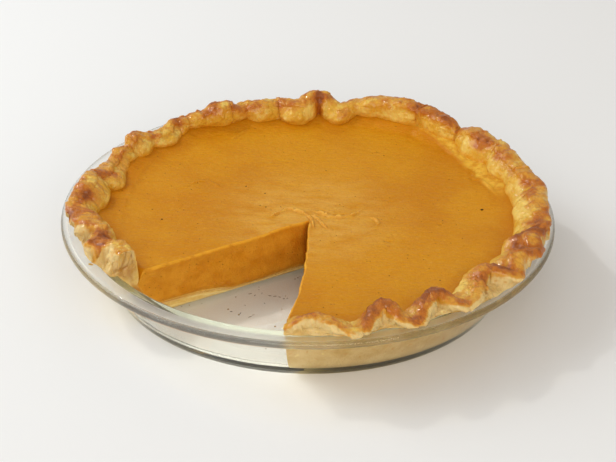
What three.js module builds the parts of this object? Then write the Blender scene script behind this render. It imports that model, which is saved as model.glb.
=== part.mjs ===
// A pumpkin pie with one slice taken out, in its clear glass pie dish.
// Millimetres, +Z up. The origin is the centre of the dish's flat base, which rests at z = 0.
// Azimuths are in degrees about +Z, counted from +X towards +Y. The slice is missing at -Y.
import * as THREE from "three";
import { mergeVertices } from "three/addons/utils/BufferGeometryUtils.js";

// Glass pie dish, 244 mm across its rim.
const rimRadius = 122;
const rimHeight = 32.8;
const beadRadius = 1.9;
const flangeHeight = 31;
const flangeThickness = 3.4;
const glassThickness = 4;
const baseRadius = 95.3;
const heelRadius = 3;
const innerHeelRadius = 7;
const lipRadius = 3.5;
const wallSlope = 63;
const dishSegments = 72;

// Touching pieces keep this much room between them.
const gap = 0.3;

// The missing slice: where the two knife cuts meet, and the directions of the cut faces.
const tip = new THREE.Vector2(0.3, -5);
const rightCut = -95;
const leftCut = 212;

// Pastry: a base and a wall inside the dish, and a fluted rim standing on the flange.
const baseCrust = 3.6;
const wallCrust = 5.6;
const cornerRadius = 4;
const rimLine = 109.3;
const foldDepth = 6.2;
const rimHalfWidth = 4.2;
const steepestLeg = 1.7;
const footHalfWidth = 3.6;
const footFoldDepth = 1.6;
const crestHeight = 38.2;
const crestSwing = 2.3;
const crestRounding = 1.8;
const bellyHeight = 34.3;
const bellyWidth = 5;
const wallTop = 31.2;
const tallPinch = { azimuth: 88, rise: 7.2, spread: 7 };
const crustColumns = 140;

// The dough is pinched outwards and inwards in turn, at these azimuths.
const outwardFolds = [
  -99, -79, -65, -51, -32.5, -21.5, -10.5, 7.5, 20, 31.5, 46, 58.5,
  71, 87.5, 99.5, 109.5, 126, 143.5, 155.5, 168, 181, 203.5, 219,
];
const inwardFolds = [
  -87, -70.5, -56.5, -38.5, -27, -16, -1, 14, 26, 38, 52, 64.5,
  80.5, 93.5, 104.5, 117, 135, 149.5, 162, 174.5, 193, 211,
];

// Pumpkin custard, level with the foot of the rim and a little higher at its edge and tip.
const fillingLevel = 30;
const fillingEdge = 30.8;
const fillingTip = 30.5;
const levelRadius = 60;
const shoreRadius = 95;
const shoreHeight = 30.3;
const fillingColumns = 70;

const rad = THREE.MathUtils.degToRad;
const heelTurn = wallSlope - 90;
const lipTurn = wallSlope + 90;

function point(radius, height) {
  return new THREE.Vector2(radius, height);
}

// Points of an arc in the (radius, height) plane, from one direction in degrees to another.
function arc(centre, size, from, to, steps) {
  return Array.from({ length: steps + 1 }, (_, step) => {
    const angle = rad(from + ((to - from) * step) / steps);
    return point(centre.x + size * Math.cos(angle), centre.y + size * Math.sin(angle));
  });
}

// The radius of the dish's sloping wall at a height, some way in from its outer face.
function wallRadius(height, inset) {
  const heelX = baseRadius + heelRadius * Math.cos(rad(heelTurn));
  const heelZ = heelRadius + heelRadius * Math.sin(rad(heelTurn));
  return heelX + (height - heelZ) / Math.tan(rad(wallSlope)) - inset / Math.sin(rad(wallSlope));
}

// The rounded corner between a floor and a wall, as an arc that touches both.
function corner(floor, inset, size, steps) {
  const touch = floor + size + size * Math.sin(rad(heelTurn));
  const radius = wallRadius(touch, inset) - size * Math.cos(rad(heelTurn));
  return arc(point(radius, floor + size), size, -90, heelTurn, steps);
}

// The rounded lip where the inner wall rolls over onto the flange, some way off the glass.
function lip(clearance, steps) {
  const height = flangeHeight - lipRadius;
  const touch = height + lipRadius * Math.sin(rad(lipTurn));
  const radius = wallRadius(touch, glassThickness) - lipRadius * Math.cos(rad(lipTurn));
  return arc(point(radius, height), lipRadius + clearance, lipTurn, 90, steps);
}

// A plate with a flat base, a sloping wall, a flat flange and a rounded bead at its edge.
function dishGeometry() {
  const underside = flangeHeight - flangeThickness;
  const bead = point(rimRadius - beadRadius, rimHeight - beadRadius);
  const beadEnd = 180 - THREE.MathUtils.radToDeg(Math.asin((flangeHeight - bead.y) / beadRadius));
  const profile = [
    point(0, 0),
    ...corner(0, 0, heelRadius, 4),
    point(wallRadius(underside, 0), underside),
    ...arc(bead, beadRadius, -90, beadEnd, 6),
    ...lip(0, 3).reverse(),
    ...corner(glassThickness, glassThickness, innerHeelRadius, 3).reverse(),
    point(0, glassThickness),
  ];
  return new THREE.LatheGeometry(profile, dishSegments).rotateX(Math.PI / 2);
}

// How far the dough leans at an azimuth: 1 at an outward fold, -1 at an inward one.
function foldLean(azimuth) {
  const folds = [
    ...outwardFolds.map((at) => ({ at, lean: 1 })),
    ...inwardFolds.map((at) => ({ at, lean: -1 })),
  ].sort((a, b) => a.at - b.at);
  const next = folds.findIndex((fold) => fold.at > azimuth);
  const before = folds[next - 1];
  const after = folds[next];
  const along = (azimuth - before.at) / (after.at - before.at);
  return before.lean + ((after.lean - before.lean) * (1 - Math.cos(Math.PI * along))) / 2;
}

// The radial half-width of the rim, wider where the even ribbon of dough runs across it.
function rimReach(azimuth) {
  const swing = foldDepth * (foldLean(azimuth + 1) - foldLean(azimuth - 1));
  const slope = swing / (2 * rad(1) * rimLine);
  return rimHalfWidth * Math.min(Math.hypot(1, slope), steepestLeg);
}

// The pastry's outline at an azimuth: under the base, up the glass, over the rim and back.
function crustSection(azimuth) {
  const lean = foldLean(azimuth);
  const width = rimReach(azimuth);
  const offset = (azimuth - tallPinch.azimuth) / tallPinch.spread;
  const crest = crestHeight - crestSwing * lean + tallPinch.rise * Math.exp(-offset * offset);
  const shoulder = crest - crestRounding;
  const middle = rimLine + foldDepth * lean;
  const foot = rimLine + footHalfWidth + footFoldDepth * lean;
  const footHeight = flangeHeight + gap;
  const innerInset = glassThickness + gap + wallCrust;
  const baseTop = glassThickness + gap + baseCrust;
  return [
    point(0, glassThickness + gap),
    ...corner(glassThickness + gap, glassThickness + gap, innerHeelRadius - gap, 2),
    ...lip(gap, 2),
    point(foot, footHeight),
    point((foot + middle + width) / 2, (footHeight + shoulder) / 2),
    point(middle + width, shoulder),
    point(middle, crest),
    point(middle - width, shoulder),
    point(middle - bellyWidth, bellyHeight),
    point(wallRadius(wallTop, innerInset), wallTop),
    ...corner(baseTop, innerInset, cornerRadius, 2).reverse(),
    point(0, baseTop),
  ];
}

// The custard's outline: over the pastry base, up the pastry wall and back along its top.
function fillingSection() {
  const floor = glassThickness + baseCrust + 2 * gap;
  const inset = glassThickness + wallCrust + 2 * gap;
  return [
    point(0, floor),
    ...corner(floor, inset, cornerRadius - gap, 2),
    point(wallRadius(fillingEdge, inset), fillingEdge),
    point(shoreRadius, shoreHeight),
    point(levelRadius, fillingLevel),
    point(0, fillingTip),
  ];
}

// The distance from the slice's tip, in a direction, at which the pie has a given radius.
function reach(direction, radius) {
  const along = tip.x * Math.cos(direction) + tip.y * Math.sin(direction);
  return Math.sqrt(along * along + radius * radius - tip.lengthSq()) - along;
}

// Sweeps a section from the right cut round to the left one, about the slice's tip, and
// closes it with the two flat cut faces. A section's first and last points are at the tip.
function sweptGeometry(sectionAt, columns) {
  const outlines = Array.from({ length: columns + 1 }, (_, column) => {
    const direction = rad(rightCut + ((leftCut - rightCut) * column) / columns);
    const rim = reach(direction, rimLine);
    const x = tip.x + rim * Math.cos(direction);
    const y = tip.y + rim * Math.sin(direction);
    const turn = Math.atan2(y, x);
    const laps = Math.round((direction - turn) / (2 * Math.PI));
    const section = sectionAt(THREE.MathUtils.radToDeg(turn) + 360 * laps);
    const outline = section.map((p) => point(p.x > 0 ? reach(direction, p.x) : 0, p.y));
    return { direction, outline };
  });

  const count = outlines[0].outline.length;
  const positions = outlines.flatMap(({ direction, outline }) =>
    outline.flatMap((p) => [
      tip.x + p.x * Math.cos(direction),
      tip.y + p.x * Math.sin(direction),
      p.y,
    ]),
  );

  const faces = [];
  for (let column = 0; column < columns; column += 1) {
    for (let step = 0; step < count - 1; step += 1) {
      const near = column * count + step;
      const far = near + count;
      faces.push([near, far, far + 1], [near, far + 1, near + 1]);
    }
  }
  const last = columns * count;
  const closing = (outline) =>
    THREE.ShapeUtils.triangulateShape(outline, []).map((face) => {
      const [a, b, c] = face.map((index) => outline[index]);
      const turn = (b.x - a.x) * (c.y - a.y) - (b.y - a.y) * (c.x - a.x);
      return turn > 0 ? face : [face[0], face[2], face[1]];
    });
  faces.push(...closing(outlines[0].outline));
  faces.push(...closing(outlines[columns].outline).map(([a, b, c]) => [last + a, last + c, last + b]));

  const raw = new THREE.BufferGeometry();
  raw.setAttribute("position", new THREE.Float32BufferAttribute(positions, 3));
  raw.setIndex(faces.flat());
  return withoutSlivers(mergeVertices(raw));
}

// Drops the faces that merging has folded flat at the slice's tip.
function withoutSlivers(geometry) {
  const index = Array.from(geometry.index.array);
  const kept = [];
  for (let start = 0; start < index.length; start += 3) {
    const [a, b, c] = index.slice(start, start + 3);
    if (a !== b && b !== c && c !== a) {
      kept.push(a, b, c);
    }
  }
  geometry.setIndex(kept);
  geometry.computeVertexNormals();
  return geometry;
}

function piece(name, geometry, color, roughness) {
  const material = new THREE.MeshStandardMaterial({ color, roughness, metalness: 0 });
  const mesh = new THREE.Mesh(geometry, material);
  mesh.name = name;
  return mesh;
}

const pie = new THREE.Group();
pie.add(
  piece("dish", dishGeometry(), 0xc9cdb4, 0.05),
  piece("crust", sweptGeometry(crustSection, crustColumns), 0xd9ac4f, 0.6),
  piece("filling", sweptGeometry(fillingSection, fillingColumns), 0xcb8824, 0.45),
);

export default pie;
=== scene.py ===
import bpy
import numpy as np
from mathutils import Matrix, Vector


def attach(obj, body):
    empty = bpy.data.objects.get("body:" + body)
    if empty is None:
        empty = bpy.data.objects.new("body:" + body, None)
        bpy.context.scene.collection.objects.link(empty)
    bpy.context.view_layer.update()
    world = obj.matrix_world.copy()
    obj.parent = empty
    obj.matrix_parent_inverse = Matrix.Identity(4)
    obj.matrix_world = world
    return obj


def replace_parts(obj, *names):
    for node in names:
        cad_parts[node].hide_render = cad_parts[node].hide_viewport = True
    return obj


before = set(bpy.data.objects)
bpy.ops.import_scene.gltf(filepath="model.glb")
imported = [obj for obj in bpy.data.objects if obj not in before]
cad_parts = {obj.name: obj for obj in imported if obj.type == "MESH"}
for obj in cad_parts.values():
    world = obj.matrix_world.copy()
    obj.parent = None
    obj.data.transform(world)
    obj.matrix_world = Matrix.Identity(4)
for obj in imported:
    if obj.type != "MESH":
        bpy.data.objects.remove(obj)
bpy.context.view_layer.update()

scene = bpy.context.scene
mm = 0.001                                     # lengths below are in millimetres, as in the frame's drawing

view = {
    "target": (0.08, 0.0, 21.6),
    "distance": 1100.0,
    "elevation": 29.6,
    "roll": 0.78,
    "lens": 129.04,                            # on a sensor 36 wide
}


def addCamera():
    # the camera stands back from the target along a line tilted down by the elevation
    tilt = np.radians(view["elevation"])
    forward = Vector((0.0, np.cos(tilt), -np.sin(tilt)))
    right = Vector((1.0, 0.0, 0.0))
    up = right.cross(forward)
    turn = Matrix((right, up, -forward)).transposed().to_4x4()
    turn = turn @ Matrix.Rotation(np.radians(view["roll"]), 4, "Z")
    data = bpy.data.cameras.new("camera")
    data.lens = view["lens"]
    data.sensor_width = 36.0
    data.clip_end = 20.0
    body = bpy.data.objects.new("camera", data)
    spot = (Vector(view["target"]) - forward * view["distance"]) * mm
    body.matrix_world = Matrix.Translation(spot) @ turn
    scene.collection.objects.link(body)
    scene.camera = body


addCamera()
print("camera in place")


# shared helpers: noise, grids, meshes and shaders
latticeSize = 4096
latticeSteps = (73856093, 19349663, 83492791)


def softNoise(points, size, seed):
    # random heights on a cubic lattice of the given size, eased from corner to corner, from -1 to 1
    table = np.random.default_rng(seed).uniform(-1.0, 1.0, latticeSize)
    scaled = points / size
    cell = np.floor(scaled).astype(np.int64)
    part = scaled - cell
    part = part * part * (3.0 - 2.0 * part)
    total = np.zeros(points.shape[:-1])
    for corner in np.ndindex(2, 2, 2):
        at = (cell + np.array(corner)) * np.array(latticeSteps)
        key = (at[..., 0] ^ at[..., 1] ^ at[..., 2]) & (latticeSize - 1)
        weight = np.prod(np.where(np.array(corner) == 1, part, 1.0 - part), axis=-1)
        total += weight * table[key]
    return total


def layeredNoise(points, size, seed, layers=3, gain=0.5):
    # a sum of soft noises, each half the size and gain times the strength of the one before
    total = np.zeros(points.shape[:-1])
    for layer in range(layers):
        total += gain ** layer * softNoise(points, size / 2 ** layer, seed + layer)
    return total


def smooth(low, high, value):
    # eases from 0 at low to 1 at high
    part = np.clip((value - low) / (high - low), 0.0, 1.0)
    return part * part * (3.0 - 2.0 * part)


def bump(value, centre, spread):
    # a bell of height 1 at the centre
    return np.exp(-((value - centre) / spread) ** 2)


def spanning(value, limits):
    # 0 up to the first limit, 1 between the second and the fourth, and 0 again past the third
    start, full, end, waning = limits
    return smooth(start, full, value) * smooth(end, waning, value)


def between(low, high, share):
    # a straight blend, low at share 0 and high at 1
    return low * (1.0 - share) + high * share


def gridFaces(index):
    # two triangles for each cell of a grid of point numbers
    a, b, c, d = index[:-1, :-1], index[1:, :-1], index[1:, 1:], index[:-1, 1:]
    return np.concatenate([np.stack([a, b, c], -1).reshape(-1, 3), np.stack([a, c, d], -1).reshape(-1, 3)])


def seamFaces(coarse, fine):
    # joins a line of points to one with several times as many: each coarse step gets a fan
    times = (len(fine) - 1) // (len(coarse) - 1)
    cells = np.arange(len(coarse) - 1)
    middle = fine[cells * times + times // 2]
    fans = [np.stack([coarse[:-1], coarse[1:], middle], -1)]
    for step in range(times):
        hub = coarse[:-1] if step < times // 2 else coarse[1:]
        fans.append(np.stack([hub, fine[cells * times + step + 1], fine[cells * times + step]], -1))
    return np.concatenate(fans)


class Shape:
    # points, faces and the values of named fields, gathered block by block into one mesh
    def __init__(self, *names):
        self.points, self.faces = [], []
        self.fields = {name: [] for name in names}
        self.count = 0

    def add(self, points, **fields):
        # fields that aren't given are zero
        numbers = self.count + np.arange(points[..., 0].size).reshape(points.shape[:-1])
        self.points.append(points.reshape(-1, 3))
        for name, gathered in self.fields.items():
            gathered.append(np.broadcast_to(fields.get(name, 0.0), points.shape[:-1]).reshape(-1))
        self.count += numbers.size
        return numbers

    def close(self, faces, flip=False):
        self.faces.append(faces[:, ::-1] if flip else faces)

    def make(self, name, material, sharp=45.0, nearest=0.002):
        # points nearer to each other than that become one, and faces folded flat by it are dropped
        points, faces = np.concatenate(self.points), np.concatenate(self.faces)
        keys = np.round(points / nearest).astype(np.int64)
        _, first, back = np.unique(keys, axis=0, return_index=True, return_inverse=True)
        faces = back.reshape(-1)[faces]
        whole = (faces[:, 0] != faces[:, 1]) & (faces[:, 1] != faces[:, 2]) & (faces[:, 2] != faces[:, 0])
        mesh = bpy.data.meshes.new(name)
        mesh.from_pydata((points[first] * mm).tolist(), [], faces[whole].tolist())
        mesh.shade_smooth()
        mesh.set_sharp_from_angle(angle=np.radians(sharp))
        for field, values in self.fields.items():
            layer = mesh.attributes.new(field, "FLOAT", "POINT")
            layer.data.foreach_set("value", np.concatenate(values)[first].astype(np.float32))
        mesh.materials.append(material)
        piece = bpy.data.objects.new(name, mesh)
        scene.collection.objects.link(piece)
        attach(piece, "root")
        print(name, "made with", int(whole.sum()), "triangles")
        return piece


def tint(shade):
    # a screen colour from 0 to 255 as the linear colour that shaders take
    share = np.array(shade) / 255.0
    linear = np.where(share <= 0.04045, share / 12.92, ((share + 0.055) / 1.055) ** 2.4)
    return (*linear.tolist(), 1.0)


class Shader:
    # a short way to write a material's nodes
    def __init__(self, name):
        self.material = bpy.data.materials.new(name)
        self.material.use_nodes = True
        self.nodes = self.material.node_tree.nodes
        self.links = self.material.node_tree.links
        self.surface = self.nodes["Principled BSDF"]
        self.output = self.nodes["Material Output"]
        self.place = self.nodes.new("ShaderNodeTexCoord").outputs["Object"]

    def plug(self, socket, value):
        if isinstance(value, bpy.types.NodeSocket):
            self.links.new(value, socket)
        else:
            socket.default_value = value

    def node(self, kind, settings=None, **inputs):
        made = self.nodes.new(kind)
        for key, value in (settings or {}).items():
            setattr(made, key, value)
        for key, value in inputs.items():
            self.plug(made.inputs[key.replace("_", " ")], value)
        return made

    def field(self, name):
        return self.node("ShaderNodeAttribute", {"attribute_name": name}).outputs["Fac"]

    def stretched(self, x, y, z):
        # a factor below 1 draws a pattern out along that axis
        return self.node("ShaderNodeMapping", Vector=self.place, Scale=(x, y, z)).outputs["Vector"]

    def noise(self, size, detail=3.0, rough=0.55, place=None):
        # size is the width in millimetres of the coarsest patches
        made = self.node("ShaderNodeTexNoise", Scale=1.0 / (size * mm), Detail=detail, Roughness=rough)
        self.plug(made.inputs["Vector"], place or self.place)
        return made.outputs["Fac"]

    def ramp(self, value, low, high, start=0.0, end=1.0):
        # eases from start where the value is low to end where it is high
        made = self.node("ShaderNodeMapRange", {"interpolation_type": "SMOOTHSTEP"}, Value=value)
        for socket, number in (("From Min", low), ("From Max", high), ("To Min", start), ("To Max", end)):
            self.plug(made.inputs[socket], number)
        return made.outputs["Result"]

    def math(self, kind, first, second=0.0):
        made = self.node("ShaderNodeMath", {"operation": kind})
        self.plug(made.inputs[0], first)
        self.plug(made.inputs[1], second)
        return made.outputs[0]

    def blend(self, share, first, second, kind="MIX"):
        made = self.node("ShaderNodeMix", {"data_type": "RGBA", "blend_type": kind})
        self.plug(made.inputs["Factor"], share)
        self.plug(made.inputs[6], first)
        self.plug(made.inputs[7], second)
        return made.outputs[2]

    def paint(self, colour, over, value, low, high, most=1.0):
        # lays one colour over another, from none where the value is low to most where it is high
        return self.blend(self.ramp(value, low, high, 0.0, most), colour, over)

    def relief(self, height, depth, under=None):
        # depth is the height in millimetres that a full step of the pattern stands for
        made = self.node("ShaderNodeBump", Height=height, Distance=depth * mm)
        if under is not None:
            self.plug(made.inputs["Normal"], under)
        return made.outputs["Normal"]

    def finish(self, **inputs):
        for key, value in inputs.items():
            self.plug(self.surface.inputs[key.replace("_", " ")], value)
        return self.material


# the missing slice, and rays from its tip
cut = {
    "tip": np.array([0.3, -5.0]),
    "right": -95.0,
    "left": 212.0,
    "spare": 20.0,                             # directions are counted from this far before the right cut
    "bowAt": (0.0, 20.0, 50.0, 67.0, 82.0, 96.0, 130.0),
    "bow": (0.8, 2.3, 3.1, 2.8, 0.8, -0.8, -0.8),   # how far the right cut wanders from straight
    "bowSpread": 20.0,                         # the angle over which the bow dies away
    "wobble": 0.3, "wobbleSize": 5.0,          # the knife's small waves
    "wobbleFrom": (2.0, 10.0),                 # they set in between these distances from the tip
}


def heading(direction):
    # the level unit vector at an angle
    return np.stack([np.cos(direction), np.sin(direction)], -1)


def reach(direction, radius):
    # how far to go from the tip, in a direction, to come to a radius about the dish's centre
    along = (cut["tip"] * heading(direction)).sum(-1)
    return np.sqrt(along * along + radius * radius - (cut["tip"] ** 2).sum()) - along


def swept(direction, section):
    # points at the section's (distance, height) along each ray that leaves the tip
    plan = cut["tip"] + section[..., :1] * heading(direction)[:, None, :]
    return np.concatenate([plan, section[..., 1:]], -1)


def polar(points):
    # distance from the tip, direction from it, radius and azimuth about the centre
    away = points[..., :2] - cut["tip"]
    sides = []
    for plan in (away, points[..., :2]):
        turn = np.degrees(np.arctan2(plan[..., 1], plan[..., 0]))
        turn = np.where(turn < cut["right"] - cut["spare"], turn + 360.0, turn)
        sides += [np.linalg.norm(plan, axis=-1), turn]
    return sides


def bowed(points):
    # moves what lies near the right cut sideways, as far as the knife wandered
    distance, direction, _, _ = polar(points)
    along = np.stack([distance, distance * 0.0, distance * 0.0], -1)
    waves = smooth(*cut["wobbleFrom"], distance) * layeredNoise(along, cut["wobbleSize"], 5, 2)
    wander = np.interp(distance, cut["bowAt"], cut["bow"]) + cut["wobble"] * waves
    shift = wander * bump(direction, cut["right"], cut["bowSpread"])
    turn = np.radians(direction)
    side = np.stack([-np.sin(turn), np.cos(turn)], -1)
    moved = points.copy()
    moved[..., :2] += side * shift[..., None]
    return moved


def arc(centre, size, start, end, count):
    # count points on a circle, from one angle in degrees to another
    angle = np.radians(np.linspace(start, end, count))
    return np.stack([centre[0] + size * np.cos(angle), centre[1] + size * np.sin(angle)], -1)


def line(start, end, count):
    # count points from start up to, but without, end
    share = np.linspace(0.0, 1.0, count + 1)[:-1, None]
    return between(np.array(start), np.array(end), share)


# glass pie dish
dish = {
    "rimRadius": 122.0, "rimHeight": 32.8, "bead": 1.9, "flange": 31.0, "flangeThickness": 2.2,
    "glass": 4.0, "base": 95.9, "heel": 2.0, "innerHeel": 7.0, "lip": 1.8, "slope": 63.0,
    "hollow": 0.35, "footRing": 12.0,          # the underside is lifted a little inside its foot ring
    "satin": (30.0, 4.0),                      # the foot turns a little rough, this far in from its edge
    "step": 0.2,                               # the flange's underside starts and ends this far along
    "segments": 400,
    "underPoints": 48, "heelPoints": 12, "beadPoints": 18, "lipPoints": 10, "floorPoints": 11,
    "tinge": (226, 243, 206),                  # the colour that light takes on in the glass
    "density": 12.0,                           # and how fast it does
    "shadow": (253, 249, 241),                 # the colour of what the glass lets through to the table
}
wallLean = np.radians(dish["slope"])
heelTurn = dish["slope"] - 90.0
lipTurn = dish["slope"] + 90.0


def wallRadius(height, inset):
    # the sloping wall's radius at a height, some way in from its outer face
    heelX = dish["base"] + dish["heel"] * np.cos(np.radians(heelTurn))
    heelZ = dish["heel"] * (1.0 + np.sin(np.radians(heelTurn)))
    return heelX + (height - heelZ) / np.tan(wallLean) - inset / np.sin(wallLean)


def corner(floor, inset, size, count):
    # the arc between a floor and the sloping wall, touching both
    touch = floor + size * (1.0 + np.sin(np.radians(heelTurn)))
    radius = wallRadius(touch, inset) - size * np.cos(np.radians(heelTurn))
    return arc((radius, floor + size), size, -90.0, heelTurn, count)


def lip(clearance, count):
    # the arc that rolls the inner wall over onto the flange
    height = dish["flange"] - dish["lip"]
    touch = height + dish["lip"] * np.sin(np.radians(lipTurn))
    radius = wallRadius(touch, dish["glass"]) - dish["lip"] * np.cos(np.radians(lipTurn))
    return arc((radius, height), dish["lip"] + clearance, lipTurn, 90.0, count)


def clearGlass():
    shader = Shader("clear_glass")
    shader.finish(
        Base_Color=(1.0, 1.0, 1.0, 1.0),
        Roughness=shader.ramp(shader.field("satin"), 0.0, 1.0, 0.0, 0.37),
        IOR=1.47,
        Transmission_Weight=1.0,
        Normal=shader.relief(shader.noise(26.0, 1.0), 0.25),
    )
    # rays from lamps pass straight through, so the glass throws a light shadow
    lamps = shader.node("ShaderNodeLightPath").outputs["Is Shadow Ray"]
    through = shader.node("ShaderNodeBsdfTransparent", Color=tint(dish["shadow"]))
    mix = shader.node("ShaderNodeMixShader", Fac=lamps)
    shader.plug(mix.inputs[1], shader.surface.outputs["BSDF"])
    shader.plug(mix.inputs[2], through.outputs["BSDF"])
    shader.plug(shader.output.inputs["Surface"], mix.outputs["Shader"])
    tinge = tint(dish["tinge"])
    tinted = shader.node("ShaderNodeVolumeAbsorption", Color=tinge, Density=dish["density"])
    shader.plug(shader.output.inputs["Volume"], tinted.outputs["Volume"])
    return shader.material


def buildDish(material):
    # the plate's outline, turned about the upright axis
    step, base = dish["step"], dish["base"]
    underside = dish["flange"] - dish["flangeThickness"]
    beadStart = dish["rimRadius"] - dish["bead"]
    beadRise = 0.5 * (dish["rimHeight"] - underside)
    beadMiddle = underside + beadRise
    beadEnd = 180.0 - np.degrees(np.arcsin((dish["flange"] - beadMiddle) / beadRise))
    oval = arc((0.0, 0.0), 1.0, -90.0, beadEnd, dish["beadPoints"])
    oval = oval * np.array([dish["bead"], beadRise])
    flat = np.linspace(0.0, base, dish["underPoints"])
    lifted = dish["hollow"] * smooth(base, base - dish["footRing"], flat)
    inside = corner(dish["glass"], dish["glass"], dish["innerHeel"], dish["heelPoints"])[::-1]
    outline = np.concatenate([
        np.stack([flat, lifted], -1),
        corner(0.0, 0.0, dish["heel"], dish["heelPoints"])[1:],
        [(wallRadius(underside - step, 0.0), underside - step), (wallRadius(underside, 0.0), underside)],
        [(beadStart - step, underside)],
        oval + np.array([beadStart, beadMiddle]),
        lip(0.0, dish["lipPoints"])[::-1],
        inside,
        line(inside[-1], (0.0, dish["glass"]), dish["floorPoints"])[1:],
        [(0.0, dish["glass"])],
    ])
    turn = np.linspace(0.0, 2.0 * np.pi, dish["segments"] + 1)
    turn[-1] = 0.0
    plan = heading(turn)[:, None, :] * outline[None, :, :1]
    height = np.broadcast_to(outline[None, :, 1:], plan.shape[:2] + (1,))
    radius, level = outline.T[:, None, :]
    far, close = dish["satin"]
    foot = smooth(base - far, base - close, radius) * (level < 0.5)
    below = (np.abs(level - underside) < 0.5 * step) & (radius < beadStart - 0.5 * step)
    shape = Shape("satin")
    index = shape.add(np.concatenate([plan, height], -1), satin=np.maximum(foot, below))
    shape.close(gridFaces(index))
    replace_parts(shape.make("glass_dish", material, 60.0), "dish")


# pastry: a sheet under the custard and up the glass, then a pinched ribbon standing on the flange
pastry = {
    "base": 3.6, "wall": 5.6, "corner": 4.0, "wallTop": 26.5,
    "bite": 0.15,                              # how far it reaches into the glass, so no air shows
    "lift": 0.2,                               # the rim stands this far off the flange
    "columns": 1500, "coarse": 12,             # the hidden part has one column for each dozen
    "hiddenRows": 66, "faceRows": 12, "topRows": 10, "rollRows": 4, "capRows": 16, "cornerPoints": 8,
    "evenTo": 60.0,                            # hidden rows are scaled evenly from the tip to this radius
    "footHeight": 31.2, "footRadius": 109.6, "footHalf": 3.4,
    "crestMiddle": 109.5, "footSwing": 0.22,   # the foot follows the crest in and out by this share
    "spills": ((198.0, 14.0, 2.2), (-38.0, 9.0, 4.5)),     # azimuth, spread and reach of a foot further out
    "crown": 2.1, "crownPower": 2.5,           # height and squareness of the ribbon's rounded top
    "rimMiddle": 109.0, "nearby": 32,          # the rim's samples that can reach a ray, on each side
    "ease": 12,                                # rays over which the outer edge is rounded
    "faceCurve": 1.5,                          # how late the outer face leans out to the crest
    "rolled": 0.5, "tuck": 0.9, "turnAt": 0.55,            # it is hollow up to there and rolled out above
    "groove": (0.7, 0.5),                      # how far grooves sink the crest and push it outward
    "climb": 0.32, "climbFrom": 101.5,         # how fast the custard's edge climbs the dough, past a radius
    "pillow": 1.5, "pillowLeast": 0.25, "pillowRise": 0.4, # how far inner faces bulge between creases
    "pillowRadii": (108.0, 99.0),
    "maxRadius": 121.5, "maxHeight": 45.4,
    "foldFrom": 101.0, "foldSpan": 17.0,       # folds run from this radius over this width
    "foldDip": 0.3, "dipSpread": 0.8,
    "notchFoot": 23.4, "notchSpread": 4.5,     # beside the left cut the custard has shrunk from the dough
    "swellAt": (0.0, 10.0, 20.0, 27.0, 44.0, 49.0, 63.0, 81.0, 92.0),
    "swell": (-1.5, -1.1, -1.6, -2.3, -2.1, -0.5, 1.4, 1.6, 1.2),
    "swellSpread": 14.0, "swellTop": (18.0, 9.0),          # there the base's thickness is uneven
    "paleWithPaintedLight": (203.0, 16.0), "raw": (200.0, 5.0),            # azimuths and spreads: the first for the dough against the glass, painted pale, partly unbaked and partly painted light where it lies in shade; the second for unbaked dough on the rim
    "paleFoot": 0.6, "paleBelow": (17.0, 6.0),             # low against the glass it is painted pale too, partly its unbaked bottom and partly painted light where it lies in shade
    "film": (2.6, 0.4),                        # the custard's film ends between these heights above it
    # how far, over how many degrees and from which seed the rim's lines wander
    "wander": {
        "radius": (0.4, 4.0, 11), "height": (0.4, 3.0, 21), "half": (0.1, 4.0, 31), "inner": (0.5, 5.0, 36),
    },
}

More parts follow.
